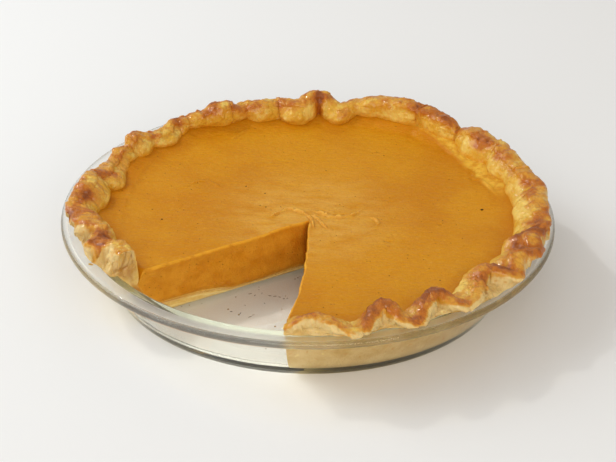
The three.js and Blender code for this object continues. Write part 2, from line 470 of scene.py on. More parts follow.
# each pinch of the rim: azimuth, then the crest's radius, height and half width, and the radius
# at which the inner face meets the custard
pinches = np.array([
    (-104.0, 114.0, 35.2, 3.0, 100.0), (-96.5, 110.5, 35.4, 2.9, 100.0), (-87.0, 105.2, 38.0, 3.3, 98.5),
    (-78.8, 116.2, 35.2, 3.4, 101.0), (-69.6, 102.6, 40.4, 3.4, 98.5), (-65.8, 116.0, 35.6, 3.4, 101.0),
    (-55.2, 103.6, 39.6, 3.4, 98.5), (-51.6, 116.4, 35.9, 3.8, 101.0), (-37.0, 105.2, 39.5, 3.6, 98.0),
    (-33.4, 116.4, 36.6, 4.4, 100.0), (-27.5, 112.6, 39.8, 4.2, 98.5), (-22.0, 116.8, 38.2, 4.4, 99.5),
    (-17.5, 113.0, 40.4, 4.2, 99.5), (-10.5, 116.2, 40.4, 4.4, 101.5), (-3.0, 114.6, 41.2, 4.6, 101.8),
    (3.0, 113.8, 41.2, 4.4, 102.0), (7.5, 116.6, 41.4, 3.9, 102.5), (14.5, 112.2, 42.2, 4.6, 102.8),
    (20.0, 113.8, 40.4, 4.0, 106.0), (26.0, 113.4, 41.8, 4.8, 103.6), (31.5, 114.5, 41.9, 4.2, 106.0),
    (38.0, 113.5, 43.2, 4.8, 103.5), (46.3, 113.5, 37.8, 3.6, 109.0), (52.0, 114.0, 42.0, 4.6, 108.5),
    (58.5, 115.5, 42.7, 4.2, 111.0), (64.5, 115.0, 44.3, 4.6, 109.5), (71.0, 115.0, 42.6, 4.4, 111.5),
    (76.5, 114.0, 40.2, 4.0, 109.5), (81.5, 109.5, 38.8, 4.0, 102.0), (87.5, 113.5, 44.2, 3.7, 108.0),
    (93.0, 108.5, 40.5, 3.9, 100.3), (99.5, 111.5, 39.8, 3.8, 105.5), (104.0, 110.0, 40.4, 4.2, 104.8),
    (109.0, 111.0, 39.2, 3.6, 107.5), (115.5, 110.5, 42.2, 4.6, 106.0), (120.5, 111.5, 39.0, 3.6, 108.0),
    (126.0, 112.0, 37.6, 3.4, 109.0), (130.2, 112.2, 39.2, 3.0, 105.0), (133.5, 110.0, 37.2, 4.2, 102.5),
    (139.5, 110.5, 38.0, 3.8, 106.0), (143.5, 113.0, 40.0, 3.3, 104.0), (147.2, 111.4, 36.2, 3.0, 105.5),
    (150.5, 112.3, 37.4, 3.2, 106.5), (155.5, 111.5, 35.4, 3.2, 102.0), (163.0, 109.5, 37.6, 4.8, 97.3),
    (168.0, 112.5, 40.4, 3.6, 104.3), (174.0, 111.0, 42.0, 4.6, 100.3), (181.3, 115.6, 39.2, 3.6, 105.8),
    (184.5, 113.4, 39.2, 5.2, 104.5), (188.5, 111.0, 39.2, 6.6, 101.5), (192.5, 107.6, 39.8, 5.8, 98.8),
    (196.5, 103.8, 40.4, 3.6, 97.8), (200.0, 106.2, 40.2, 3.2, 98.2), (203.6, 111.4, 39.4, 3.5, 98.6),
    (206.0, 106.4, 41.0, 3.9, 98.0), (209.5, 103.2, 42.4, 4.3, 97.2), (214.0, 103.8, 42.6, 4.7, 97.2),
    (226.0, 104.2, 42.0, 4.7, 97.2),
])

# sharp grooves down the inner face: azimuth, depth and width in degrees
creases = np.array([
    (-34.5, 0.8, 1.0), (-24.0, 0.9, 0.9), (-14.0, 1.0, 0.8), (4.6, 1.2, 0.7), (17.8, 1.3, 0.7),
    (30.0, 1.3, 0.8), (45.6, 1.3, 0.8), (59.4, 1.5, 0.5), (77.0, 0.8, 1.0), (87.0, 1.3, 1.4),
    (98.6, 1.2, 0.7), (108.2, 1.5, 0.7), (112.8, 1.2, 0.5), (125.5, 1.2, 0.7), (129.0, 1.0, 0.6),
    (146.6, 1.2, 0.8), (153.5, 1.0, 0.8), (167.0, 1.0, 1.0), (178.5, 1.0, 0.9), (201.5, 0.8, 0.8),
])

# where one pinch of dough lies over the next: the step's azimuth at the custard and at the rim's edge,
# its height, and over how many degrees it dies away, counted with a minus sign if its far side is raised
folds = np.array([
    (-39.5, -32.5, 0.9, 6.0), (-32.0, -22.0, 1.3, 8.0), (-18.5, -10.5, 1.3, 8.0), (4.6, 8.8, 1.0, 6.0),
    (17.5, 15.2, 0.9, -5.0), (28.0, 32.5, 0.8, 5.0), (45.0, 47.0, 0.8, -5.0), (60.5, 58.0, 0.8, -5.0),
    (86.0, 84.0, 0.7, -4.0), (98.0, 99.5, 0.8, 4.0), (113.0, 111.0, 0.8, -5.0), (146.0, 144.5, 0.7, 4.0),
    (166.5, 168.0, 1.0, -5.0), (183.0, 181.5, 1.1, 6.0), (201.0, 196.5, 0.8, -4.0),
])

# places that the oven has browned deeply: azimuth, half width in degrees, how far below the crest
# the colour reaches in millimetres, and its strength
scorches = np.array([
    (-88.0, 5.0, 1.5, 0.15), (-70.5, 6.5, 4.0, 0.6), (-55.5, 3.5, 4.0, 0.42), (-40.0, 3.5, 4.0, 0.35),
    (-33.0, 2.5, 3.0, 0.35), (-23.0, 4.0, 5.0, 0.5), (-16.0, 3.5, 4.0, 0.5), (-9.5, 3.0, 3.0, 0.4),
    (8.0, 2.5, 3.0, 0.3), (17.0, 2.5, 4.0, 0.25), (27.0, 2.5, 4.0, 0.2), (36.0, 4.0, 5.0, 0.28),
    (50.0, 3.0, 4.0, 0.25), (58.5, 3.0, 5.0, 0.25), (73.0, 2.5, 5.0, 0.15), (87.4, 1.3, 14.0, 0.6),
    (98.4, 1.2, 9.0, 0.2), (117.5, 2.0, 4.0, 0.12), (129.0, 1.5, 6.0, 0.18), (144.0, 2.0, 5.0, 0.25),
    (152.0, 2.5, 5.0, 0.2), (166.5, 2.5, 4.0, 0.26), (178.0, 2.5, 5.0, 0.36), (187.5, 4.0, 5.0, 0.3),
    (199.0, 2.0, 5.0, 0.2), (204.5, 3.0, 3.0, 0.3),
])


def rimLines():
    # the crest's line, eased from pinch to pinch, and the inner foot, round at pillows and sharp at creases
    azimuth = np.arange(pinches[0, 0], pinches[-1, 0], 0.2)
    after = np.clip(np.searchsorted(pinches[:, 0], azimuth, side="right"), 1, len(pinches) - 1)
    low, high = pinches[after - 1], pinches[after]
    share = (azimuth - low[:, 0]) / (high[:, 0] - low[:, 0])
    eased = (0.5 - 0.5 * np.cos(np.pi * share))[:, None]
    radius, height, half = between(low, high, eased)[:, 1:4].T
    inward = low[:, 4] < high[:, 4]
    keen = np.where(inward, 1.0 - np.cos(0.5 * np.pi * share), np.sin(0.5 * np.pi * share))
    around = np.stack([azimuth, azimuth * 0.0, azimuth * 0.0], -1)
    wander = {}
    for name, (far, size, seed) in pastry["wander"].items():
        wander[name] = far * layeredNoise(around, size, seed)
    radius = radius + wander["radius"]
    foot = pastry["footRadius"] + pastry["footSwing"] * (radius - pastry["crestMiddle"])
    for place, spread, extra in pastry["spills"]:
        foot = foot + extra * bump(azimuth, place, spread)
    return {
        "azimuth": np.radians(azimuth), "radius": radius, "foot": foot,
        "height": height + wander["height"],
        "half": half * (1.0 + wander["half"]),
        "inner": between(low[:, 4], high[:, 4], keen) + wander["inner"],
    }


def grooveDepth(azimuth):
    # the creases' depth at an azimuth in degrees, coming to a point at each one
    away = np.abs(azimuth[..., None] - creases[:, 0]) / creases[:, 2]
    return (creases[:, 1] * np.exp(-away)).sum(-1)


def foldSteps(radius, azimuth):
    # full height at a fold's line, dying away on its raised side, with a narrow dip on the other
    outward = (radius[..., None] - pastry["foldFrom"]) / pastry["foldSpan"]
    away = (azimuth[..., None] - between(folds[:, 0], folds[:, 1], outward)) * np.sign(folds[:, 3])
    raised = np.exp(np.minimum(away, 0.0) / np.abs(folds[:, 3]))
    dip = -pastry["foldDip"] * np.exp(-np.maximum(away, 0.0) / pastry["dipSpread"])
    return (folds[:, 2] * np.where(away < 0.0, raised, dip)).sum(-1)


def notchAt(direction):
    # 1 at the left cut, easing to 0 a few degrees away from it
    return smooth(cut["left"] - pastry["notchSpread"], cut["left"], np.degrees(direction))


def shoreHeight(radius):
    # the custard's level, climbing the dough in a straight slope past a radius
    return custard["level"] + pastry["climb"] * (radius - pastry["climbFrom"])


def nearSamples(direction, rim):
    # for each ray, the numbers of the rim's samples on both sides of where it crosses the rim
    at = cut["tip"] + reach(direction, pastry["rimMiddle"])[:, None] * heading(direction)
    own = np.arctan2(at[:, 1], at[:, 0])
    own = np.where(own < np.radians(cut["right"] - cut["spare"]), own + 2.0 * np.pi, own)
    middle = np.round((own - rim["azimuth"][0]) / (rim["azimuth"][1] - rim["azimuth"][0])).astype(int)
    beside = np.arange(-pastry["nearby"], pastry["nearby"] + 1)
    return own, np.clip(middle[:, None] + beside, 0, len(rim["azimuth"]) - 1)


def rounded(values):
    # a running mean over neighbouring rays, weighted by a bell, so that no bend is sharp
    weights = bump(np.arange(-pastry["ease"], pastry["ease"] + 1), 0.0, 0.5 * pastry["ease"])
    return np.convolve(np.pad(values, pastry["ease"], mode="edge"), weights / weights.sum(), mode="valid")


def brushEdges(direction, rim, near, radius, half):
    # the nearest and farthest points, on each ray, of a round brush drawn along a line
    centre = heading(rim["azimuth"]) * radius[:, None] - cut["tip"]
    ray = heading(direction)[:, None, :]
    along = (centre[near] * ray).sum(-1)
    across = centre[near][..., 0] * ray[..., 1] - centre[near][..., 1] * ray[..., 0]
    chord = np.sqrt(np.maximum(half[near] ** 2 - across ** 2, 0.0))
    met = half[near] > np.abs(across)
    return np.where(met, along + chord, -np.inf).max(1), np.where(met, along - chord, np.inf).min(1)


def crestHeights(direction, distance, rim, near):
    # the highest of the rounded tops of the brush's dabs above each point
    places = cut["tip"] + distance[..., None] * heading(direction)[:, None, :]
    centre = heading(rim["azimuth"]) * rim["radius"][:, None]
    power, crown = pastry["crownPower"], pastry["crown"]
    best = np.full(distance.shape, pastry["footHeight"] + 2.0)
    for step in range(near.shape[1]):
        pick = near[:, step]
        gap = np.linalg.norm(places - centre[pick][:, None, :], axis=-1) / rim["half"][pick][:, None]
        dome = crown * (1.0 - np.maximum(1.0 - gap ** power, 0.0) ** (1.0 / power))
        best = np.maximum(best, np.where(gap <= 1.001, rim["height"][pick][:, None] - dome, -np.inf))
    return best


def rimRows(direction):
    # (distance, height) rows up the outer face, over the crest and down the inner face, and a
    # field that goes from -2 at the foot to -1 at the crest's outer edge and 1 at its inner one
    rim = rimLines()
    own, near = nearSamples(direction, rim)
    azimuth = np.degrees(own)
    groove = grooveDepth(azimuth)
    crestOut, crestIn = brushEdges(direction, rim, near, rim["radius"], rim["half"])
    swing = np.cos(np.linspace(0.0, np.pi, 2 * pastry["topRows"] + 1))
    across = between(crestIn[:, None], rounded(crestOut)[:, None], 0.5 + 0.4998 * swing)
    sunk, pushed = pastry["groove"]
    crest = crestHeights(direction, across, rim, near)
    crest = crest - (sunk * groove)[:, None] * smooth(1.0, -0.6, swing)
    across = across + (pushed * groove)[:, None] * smooth(0.6, -1.0, swing)
    rows, sides = [], []
    turnAt = pastry["turnAt"]
    for q in np.linspace(0.0, 1.0, pastry["faceRows"] + 1)[:-1]:
        path = between(rim["foot"], rim["radius"], q ** pastry["faceCurve"])
        out, _ = brushEdges(direction, rim, near, path, between(pastry["footHalf"], rim["half"], q))
        hollow = pastry["tuck"] * np.sin(np.pi * min(q / turnAt, 1.0))
        rolled = np.sin(np.pi * max((q - turnAt) / (1.0 - turnAt), 0.0)) - hollow
        out = rounded(out) + pastry["rolled"] * rolled
        rows.append(np.stack([out, between(pastry["footHeight"], crest[:, 0], q)], -1))
        sides.append(q - 2.0)
    for step, place in enumerate(swing):
        rows.append(np.stack([across[:, step], crest[:, step]], -1))
        sides.append(-place)
    innerRadius = rim["inner"][near[:, pastry["nearby"]]] + groove
    notch = notchAt(direction)
    shore = shoreHeight(np.maximum(innerRadius, pastry["climbFrom"]))
    footHeight = between(shore, pastry["notchFoot"], notch)
    foot = reach(direction, innerRadius)
    pillow = smooth(*pastry["pillowRadii"], innerRadius) * np.exp(-groove) * (1.0 - notch)
    for q in np.linspace(1.0, 0.0, pastry["faceRows"] + pastry["rollRows"] + 1)[1:]:
        bulge = np.sin(np.pi * q) * pastry["pillow"] * (pastry["pillowLeast"] + pillow)
        height = between(footHeight, crest[:, -1], q) + pastry["pillowRise"] * bulge
        rows.append(np.stack([between(foot, across[:, -1], q) - bulge, height], -1))
        sides.append(1.0)
    return np.stack(rows, 1), np.array(sides), azimuth, groove


def hiddenRows(direction, outline, count):
    # a (radius, height) outline swept on rays, with count rows spaced evenly along it
    step = np.linalg.norm(np.diff(outline, axis=0), axis=-1)
    length = np.concatenate([[0.0], np.cumsum(step)])
    at = np.linspace(0.0, length[-1], count)
    radius = np.interp(at, length, outline[:, 0])
    height = np.interp(at, length, outline[:, 1])
    evenTo, base = pastry["evenTo"], dish["base"]
    inner = (reach(direction, base) / base)[:, None] * radius
    outer = reach(*np.broadcast_arrays(direction[:, None], np.maximum(radius, evenTo)))
    distance = between(inner, outer, smooth(evenTo, base, radius))
    return np.stack([distance, np.broadcast_to(height, distance.shape)], -1)


def wallRows(direction, outlineTo, count):
    # hidden rows up to the wall's top, which lies lower beside the left cut
    full = hiddenRows(direction, outlineTo(pastry["wallTop"]), count)
    low = hiddenRows(direction, outlineTo(pastry["notchFoot"] - 1.0), count)
    return between(full, low, notchAt(direction)[:, None, None])


def swollen(points):
    # raises or sinks the top of the base beside the left cut
    distance, direction, _, _ = polar(points)
    rise = np.interp(distance, pastry["swellAt"], pastry["swell"])
    rise = rise * bump(direction, cut["left"], pastry["swellSpread"])
    rise = rise * smooth(*pastry["swellTop"], points[..., 2])
    return points + rise[..., None] * np.array([0.0, 0.0, 1.0])


def outwardNormals(grid):
    # the cross product of the grid's two directions
    normal = np.cross(np.gradient(grid, axis=0), np.gradient(grid, axis=1))
    return normal / np.maximum(np.linalg.norm(normal, axis=-1, keepdims=True), 1e-9)


# the dough's relief: heights in millimetres everywhere, more on the outer side and more on the loose end
crumples = {
    "relief": (                                # size, seed and layers of each noise, then the three heights
        (9.0, 41, 2, 0.5, 0.35, 0.5),
        (2.8, 51, 3, 0.28, 0.175, 0.0),
        (5.5, 59, 1, 0.0, 0.0, 1.4),
    ),
    "puffs": (0.5, 0.42, 1.1), "puffSizes": (4.2, 2.1), "puffLevel": 0.45,
    "flakes": 0.3, "flakeLength": 4.0, "flakeThickness": 1.1, "flakeRadius": 110.0,
    "cracks": 0.35, "crackSize": 6.0, "crackWidth": 0.09,
    "blisters": 1.1, "blisterSize": 2.3, "blisterFrom": 0.3,
    "topFrom": (33.0, 37.0), "shownFrom": (30.3, 32.3),    # heights between which it sets in
    "looseFrom": (186.0, 194.0),               # the azimuths where the loose end sets in
}


def crumpled(grid, normal, sides):
    # moves the dough that stands above the glass along its normals, by the sum of its relief's noises,
    # puffs with creases between them, flakes that lie along the rim, cracks, blisters and folds
    _, _, radius, azimuth = polar(grid)
    height = grid[..., 2]
    outer = smooth(-0.8, -1.1, sides)
    loose = smooth(*crumples["looseFrom"], azimuth) * smooth(-0.9, -1.1, sides)
    total = foldSteps(radius, azimuth) * smooth(-1.0, -0.5, sides)
    for size, seed, layers, even, outside, slack in crumples["relief"]:
        total += (even + outside * outer + slack * loose) * layeredNoise(grid, size, seed, layers)
    even, outside, slack = crumples["puffs"]
    wide, narrow = crumples["puffSizes"]
    puffs = np.abs(softNoise(grid, wide, 57)) + 0.5 * np.abs(softNoise(grid, narrow, 58))
    total += (even + outside * outer + slack * loose) * (puffs - crumples["puffLevel"])
    thick = crumples["flakeThickness"]
    along = np.radians(azimuth) * crumples["flakeRadius"] / crumples["flakeLength"]
    around = np.stack([along, radius / thick, height / thick], -1)
    total += crumples["flakes"] * (0.5 - np.abs(softNoise(around, 1.0, 61)))
    cracks = bump(softNoise(grid, crumples["crackSize"], 66), 0.0, crumples["crackWidth"])
    blisters = np.maximum(softNoise(grid, crumples["blisterSize"], 71) - crumples["blisterFrom"], 0.0)
    above = -crumples["cracks"] * cracks + crumples["blisters"] * blisters
    total += above * smooth(*crumples["topFrom"], height)
    return grid + normal * (total * smooth(*crumples["shownFrom"], height))[..., None]


# what browns the dough: strengths, places as azimuths in degrees, and heights
baking = {
    "crestDepths": (5.5, 0.6),                 # below the crest, where its colour ends and is full
    "crest": 0.12, "blotches": 0.68, "specks": 0.16,
    "turned": (-48.0, -40.0, 210.0, 206.0),    # in between, it comes further down the outer face
    "back": (56.0, 70.0, 158.0, 146.0), "front": (0.0, -25.0),
    "backPaler": 0.35, "frontPaler": 0.1,      # how much less the crest browns at the back and in front
    "stripe": 0.6, "stripeAt": (-0.35, 0.3),   # inside the back rim's crest
    "ragged": 0.35,                            # how unevenly the colour ends on the outer face
    "stains": 0.35, "stainReach": (11.0, 3.0), "grooves": 0.2,
    "seam": 0.45, "seamAt": (206.6, 0.8), "seamFrom": (30.0, 33.0),    # at the loose end by the left cut
    "end": 0.22, "endFrom": (207.0, 209.0),
    "crack": 0.8, "crackFrom": (208.0, 211.0), "crackBelow": (28.0, 25.0),
}


def browning(grid, sides, azimuth, groove):
    # how far each point is baked: the crest's colour, in blotches and specks, then what is added inside
    # the back rim, in stains, along grooves, in scorched places and around the loose end
    height = grid[..., 2]
    azimuth = azimuth[:, None]
    inside, outside = sides > 0.0, sides < -0.5
    below = height.max(1, keepdims=True) - height
    turned = spanning(azimuth, baking["turned"])
    ragged = sides + baking["ragged"] * layeredNoise(grid, 7.0, 83, 2) * (sides < 0.0)
    reached = between(smooth(-1.0, -0.6, ragged), smooth(-1.45, -0.95, ragged), turned)
    near = smooth(*baking["crestDepths"], below + 1.2 * layeredNoise(grid, 5.0, 86)) * reached
    blotch = 0.5 + 0.6 * layeredNoise(grid, 9.0, 81)
    back = spanning(azimuth, baking["back"])
    front = smooth(*baking["front"], azimuth)
    paler = 1.0 - baking["backPaler"] * back - baking["frontPaler"] * front
    specks = baking["specks"] * layeredNoise(grid, 2.2, 91)
    bake = near * ((baking["crest"] + baking["blotches"] * blotch) * paler + specks)
    stripe = bump(sides, *baking["stripeAt"]) * smooth(-0.4, 0.6, layeredNoise(grid, 6.0, 87))
    bake += baking["stripe"] * back * stripe
    stains = np.maximum(layeredNoise(grid, 10.0, 96, 2), 0.0) * smooth(*baking["stainReach"], below)
    bake += (baking["stains"] * stains + baking["grooves"] * groove[:, None]) * inside
    for place, spread, depth, strength in scorches:
        patch = bump(azimuth, place, spread) * smooth(depth + 3.0, depth - 1.0, below)
        bake += strength * patch * reached * (0.7 + 0.5 * blotch)
    seam = bump(azimuth, *baking["seamAt"]) * smooth(*baking["seamFrom"], height) * (0.5 + blotch)
    end = smooth(*baking["endFrom"], azimuth) * blotch
    bake += (baking["seam"] * seam + baking["end"] * end) * outside
    crack = baking["crack"] * smooth(*baking["crackFrom"], azimuth)
    bake += crack * smooth(*baking["crackBelow"], height) * inside
    return np.clip(bake, 0.0, 1.3)


def buildPastry(material):
    # hidden dough against the glass, the fine rim from the flange over to the custard, hidden dough under
    # the custard, seams between the three and a cap over each cut end
    fineTurn = np.radians(np.linspace(cut["right"], cut["left"], pastry["columns"] + 1))
    coarseTurn = fineTurn[::pastry["coarse"]]
    glass = dish["glass"] - pastry["bite"]
    inset = dish["glass"] + pastry["wall"]
    freed = np.linspace(0.0, 1.0, pastry["rollRows"] + 1)[:, None]
    roll = between(lip(-pastry["bite"], len(freed)), lip(pastry["lift"], len(freed)), freed)
    bend = corner(glass, glass, dish["innerHeel"] + pastry["bite"], pastry["cornerPoints"])
    outsideLine = np.concatenate([[(0.0, glass)], bend, roll[:1]])

    def insideTo(top):
        bend = corner(dish["glass"] + pastry["base"], inset, pastry["corner"], pastry["cornerPoints"])
        return np.concatenate([[(0.0, bend[0, 1])], bend, [(wallRadius(top, inset), top)]])

    rows, sides, azimuth, groove = rimRows(fineTurn)
    edge = [np.stack([reach(fineTurn, radius), fineTurn * 0.0 + height], -1) for radius, height in roll[1:]]
    edge[-1] = between(edge[-2], rows[:, 0], 0.5)
    sides = np.concatenate([np.full(len(edge), -2.0), sides])
    grid = swept(fineTurn, np.concatenate([np.stack(edge, 1), rows], 1))
    grid = crumpled(grid, outwardNormals(grid), sides)
    radius = np.linalg.norm(grid[..., :2], axis=-1)
    grid[..., :2] *= np.minimum(pastry["maxRadius"] / radius, 1.0)[..., None]
    grid[..., 2] = np.minimum(grid[..., 2], pastry["maxHeight"])
    bake = browning(grid, sides, azimuth, groove)
    outside = bowed(swept(coarseTurn, hiddenRows(coarseTurn, outsideLine, pastry["hiddenRows"])))
    # painted light: the dough against the glass, seen through it, is painted pale at the left and low down,
    # partly unbaked dough and partly lightened where it lies in shade
    paleWithPaintedLight = bump(azimuth[::pastry["coarse"]], *pastry["paleWithPaintedLight"])[:, None]
    paleWithPaintedLight = np.maximum(paleWithPaintedLight, pastry["paleFoot"] * smooth(*pastry["paleBelow"], outside[..., 2]))
    raw = 0.5 * bump(azimuth, *pastry["raw"])[:, None] * smooth(-0.8, -1.1, sides)
    clear = grid[..., 2] - custardEdge(fineTurn)[1][:, None] + 0.8 * layeredNoise(grid, 5.0, 46, 2)
    film = smooth(*pastry["film"], clear) * (sides > 0.99)
    inside = bowed(swollen(swept(coarseTurn, wallRows(coarseTurn, insideTo, pastry["hiddenRows"]))))
    shape = Shape("bake", "side", "cut", "smear", "raw")
    below = shape.add(outside, side=-2.0, raw=paleWithPaintedLight)
    fine = shape.add(bowed(grid), bake=bake, side=sides, smear=film, raw=raw)
    above = shape.add(inside[:, ::-1], side=1.0)
    for block in (below, fine, above):
        shape.close(gridFaces(block))
    shape.close(seamFaces(below[:, -1], fine[:, 0]))
    shape.close(seamFaces(above[:, 0], fine[:, -1]), flip=True)
    places = np.concatenate(shape.points)
    half = fine.shape[1] // 2
    for column, flip in ((0, False), (-1, True)):
        outer = np.concatenate([below[column], fine[column, :half]])
        inner = np.concatenate([above[column, ::-1], fine[column, half + 1:][::-1]])
        capPastry(shape, places, outer, inner, fine[column, half], flip)
    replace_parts(shape.make("pastry", material, 75.0), "crust")


# the dough's two cut ends: depths, sizes of the patterns, heights, and spans from the tip
cutEnd = {
    "rimFrom": (24.0, 32.0),                   # heights between which the rim's rougher crumb sets in
    "layering": (0.15, 0.3, 12.0),             # how the layers' pattern is drawn out along, up and across
    "tear": (0.25, 0.35, 3.0),                 # depth everywhere, more at the rim, and size
    "shreds": (0.9, 1.8),                      # depth and size of what is torn out at the rim
    "bulge": 0.5, "bulgeSpan": (30.0, 50.0, 88.0, 78.0),   # how far the base stands out, and where
    "split": (0.7, 6.0, 0.14),                 # depth, size and width of the splits at the rim
    "rightShare": 0.3,                         # the right cut has this much of the splits and the smear
    "smearBelow": (25.0, 19.0), "smearFrom": (78.0, 84.0),
    "topSmear": 0.75, "topSmearBelow": (14.0, 9.0),        # where the custard rubbed off on the base
    "film": 0.6,                               # on the left cut's rim
    "under": 0.9, "paintedShadeBelow": (9.0, 6.0),    # painted shade: a dark line at the bottom of the base, standing in for the dark gap where it meets the glass
    "crumb": (0.34, 0.08, 0.42),               # how dark layers, all of the rim and splits are
}


def outOfCut(flip):
    # the level direction out of the left cut, or of the right one
    turn = np.radians(cut["left"] if flip else cut["right"])
    return np.array([-np.sin(turn), np.cos(turn), 0.0]) * (1.0 if flip else -1.0)


def capPastry(shape, places, outside, inside, peak, flip):
    # closes a cut end with rows between the two outlines, torn and split along the dough's layers
    share = np.linspace(0.0, 1.0, pastry["capRows"] + 1)[1:-1, None]
    rows = between(places[outside][None], places[inside][None], share[..., None])
    distance, _, _, _ = polar(rows)
    most = 1.0 if flip else cutEnd["rightShare"]
    arch = np.sin(np.pi * share)
    high = smooth(*cutEnd["rimFrom"], rows[..., 2])
    along, up, across = cutEnd["layering"]
    flat = np.stack([distance * along, rows[..., 2] * up, share * across + distance * 0.0], -1)
    even, rough, size = cutEnd["tear"]
    tear = (even + rough * high) * layeredNoise(flat, size, 101)
    depth, size = cutEnd["shreds"]
    tear += depth * high * np.abs(layeredNoise(flat, size, 111))
    tear += cutEnd["bulge"] * spanning(distance, cutEnd["bulgeSpan"])
    rows = rows + outOfCut(flip) * (tear * arch ** 0.5)[..., None]
    layers = 0.5 + 0.5 * layeredNoise(flat, 2.0, 121)
    depth, size, width = cutEnd["split"]
    split = high * bump(layeredNoise(rows, size, 117, 2), 0.0, width) * most
    rows = rows - outOfCut(flip) * (depth * split * arch)[..., None]
    height = rows[..., 2]
    smear = smooth(*cutEnd["smearBelow"], height) * smooth(*cutEnd["smearFrom"], distance) * most
    rubbed = cutEnd["topSmear"] * smooth(0.45, 1.0, share) * smooth(*cutEnd["topSmearBelow"], height)
    smear = np.maximum(np.maximum(smear, rubbed), cutEnd["film"] * flip * high)
    smear = np.clip(smear + 0.35 * layeredNoise(flat, 4.0, 126) * (smear > 0.02), 0.0, 1.0)
    # painted shade: the base's bottom edge is darkened as if browned, for the dark gap where it meets the
    # glass
    under = cutEnd["under"] * smooth(0.22, 0.0, share) * smooth(*cutEnd["paintedShadeBelow"], height)
    layered, even, cracked = cutEnd["crumb"]
    bake = (layered * layers + even) * high + cracked * split + under
    inner = shape.add(rows, bake=bake, cut=1.0, smear=smear, raw=layers)
    index = np.concatenate([outside[None], inner, inside[None]])
    shape.close(gridFaces(index), flip)
    last = index[:, -1]
    shape.close(np.stack([last[:-1], last[1:], np.full(len(last) - 1, peak)], -1), flip)


# the dough's screen colours
dough = {
    "inside": ((239, 202, 101), (223, 168, 50)),           # two shades in patches
    "outside": ((234, 202, 136), (216, 174, 96)),
    # the edge colour paints the outer lip paler than the hollow under it, partly painted shade there; the
    # raw colour is also painted light on the dough against the glass
    "edge": (232, 202, 138), "raw": (236, 208, 150), "smear": (222, 150, 22),
    "darkFlaw": (214, 148, 44), "paleFlaw": (250, 226, 148),
    # each brown, and how far the dough is baked where it sets in and where it covers
    "browns": (((217, 152, 46), 0.1, 0.36), ((191, 108, 17), 0.36, 0.7), ((150, 76, 7), 0.7, 1.1)),
    "crumb": ((222, 180, 88), (236, 204, 128)),
    "rawCrumb": (240, 214, 144), "brownCrumb": (150, 92, 34), "smearedCrumb": (190, 124, 36),
}


def bakedPastry():
    # pale dough inside and out, the outer lip paler than the hollow under it, partly its own paler dough
    # and partly painted shade in the hollow, then raw and golden patches, the raw ones also painted light
    # on the dough against the glass, custard smeared on it and three depths of browning; cut ends show
    # crumb instead
    shader = Shader("baked_pastry")
    bake, side, torn, smear, raw = (shader.field(name) for name in ("bake", "side", "cut", "smear", "raw"))
    speckle = shader.noise(1.7, 4.0, 0.62)
    patches = shader.noise(8.0, 3.0)
    flaw = shader.noise(3.2, 3.0, 0.6)
    amount = shader.math("ADD", bake, shader.math("MULTIPLY", shader.math("SUBTRACT", speckle, 0.5), 0.55))
    inner = shader.paint(*map(tint, dough["inside"]), patches, 0.36, 0.62)
    outer = shader.paint(*map(tint, dough["outside"]), patches, 0.36, 0.66)
    # the rolled upper part of the outer face is painted paler than its hollow lower part: partly the lip's
    # own paler dough, partly painted shade in the hollow
    shade = shader.ramp(patches, 0.36, 0.62, 0.1, 0.8)
    edge = shader.math("MULTIPLY", shader.ramp(side, -1.4, -1.1), shade)
    outer = shader.blend(edge, outer, tint(dough["edge"]))
    colour = shader.paint(outer, inner, side, -0.9, -0.2)
    # this value marks unbaked dough on the rim and pale layers at the cuts, and painted light on the dough
    # against the glass
    colour = shader.blend(shader.math("MULTIPLY", raw, 0.9), colour, tint(dough["raw"]))
    colour = shader.paint(colour, tint(dough["darkFlaw"]), flaw, 0.62, 0.7, 0.55)
    colour = shader.paint(colour, tint(dough["paleFlaw"]), flaw, 0.36, 0.28, 0.6)
    colour = shader.blend(shader.math("MULTIPLY", smear, 0.75), colour, tint(dough["smear"]))
    for brown, low, high in dough["browns"]:
        colour = shader.paint(colour, tint(brown), amount, low, high)
    crumb = shader.paint(*map(tint, dough["crumb"]), speckle, 0.3, 0.75)
    crumb = shader.paint(crumb, tint(dough["rawCrumb"]), raw, 0.35, 0.8)
    crumb = shader.paint(crumb, tint(dough["brownCrumb"]), amount, 0.35, 0.9)
    crumb = shader.blend(smear, crumb, tint(dough["smearedCrumb"]))
    grain = shader.relief(shader.noise(0.8, 3.0), 0.18)
    return shader.finish(
        Base_Color=shader.blend(torn, colour, crumb),
        Roughness=shader.ramp(amount, 0.0, 0.6, 0.42, 0.32),
        Specular_IOR_Level=0.15,
        Coat_Weight=shader.ramp(amount, 0.0, 0.4, 0.3, 0.6),
        Coat_Roughness=0.11,
        Subsurface_Weight=0.12,
        Subsurface_Radius=(1.0, 0.5, 0.2),
        Subsurface_Scale=0.002,
        Normal=shader.relief(shader.noise(2.2, 4.0, 0.7), 1.15, grain),
    )


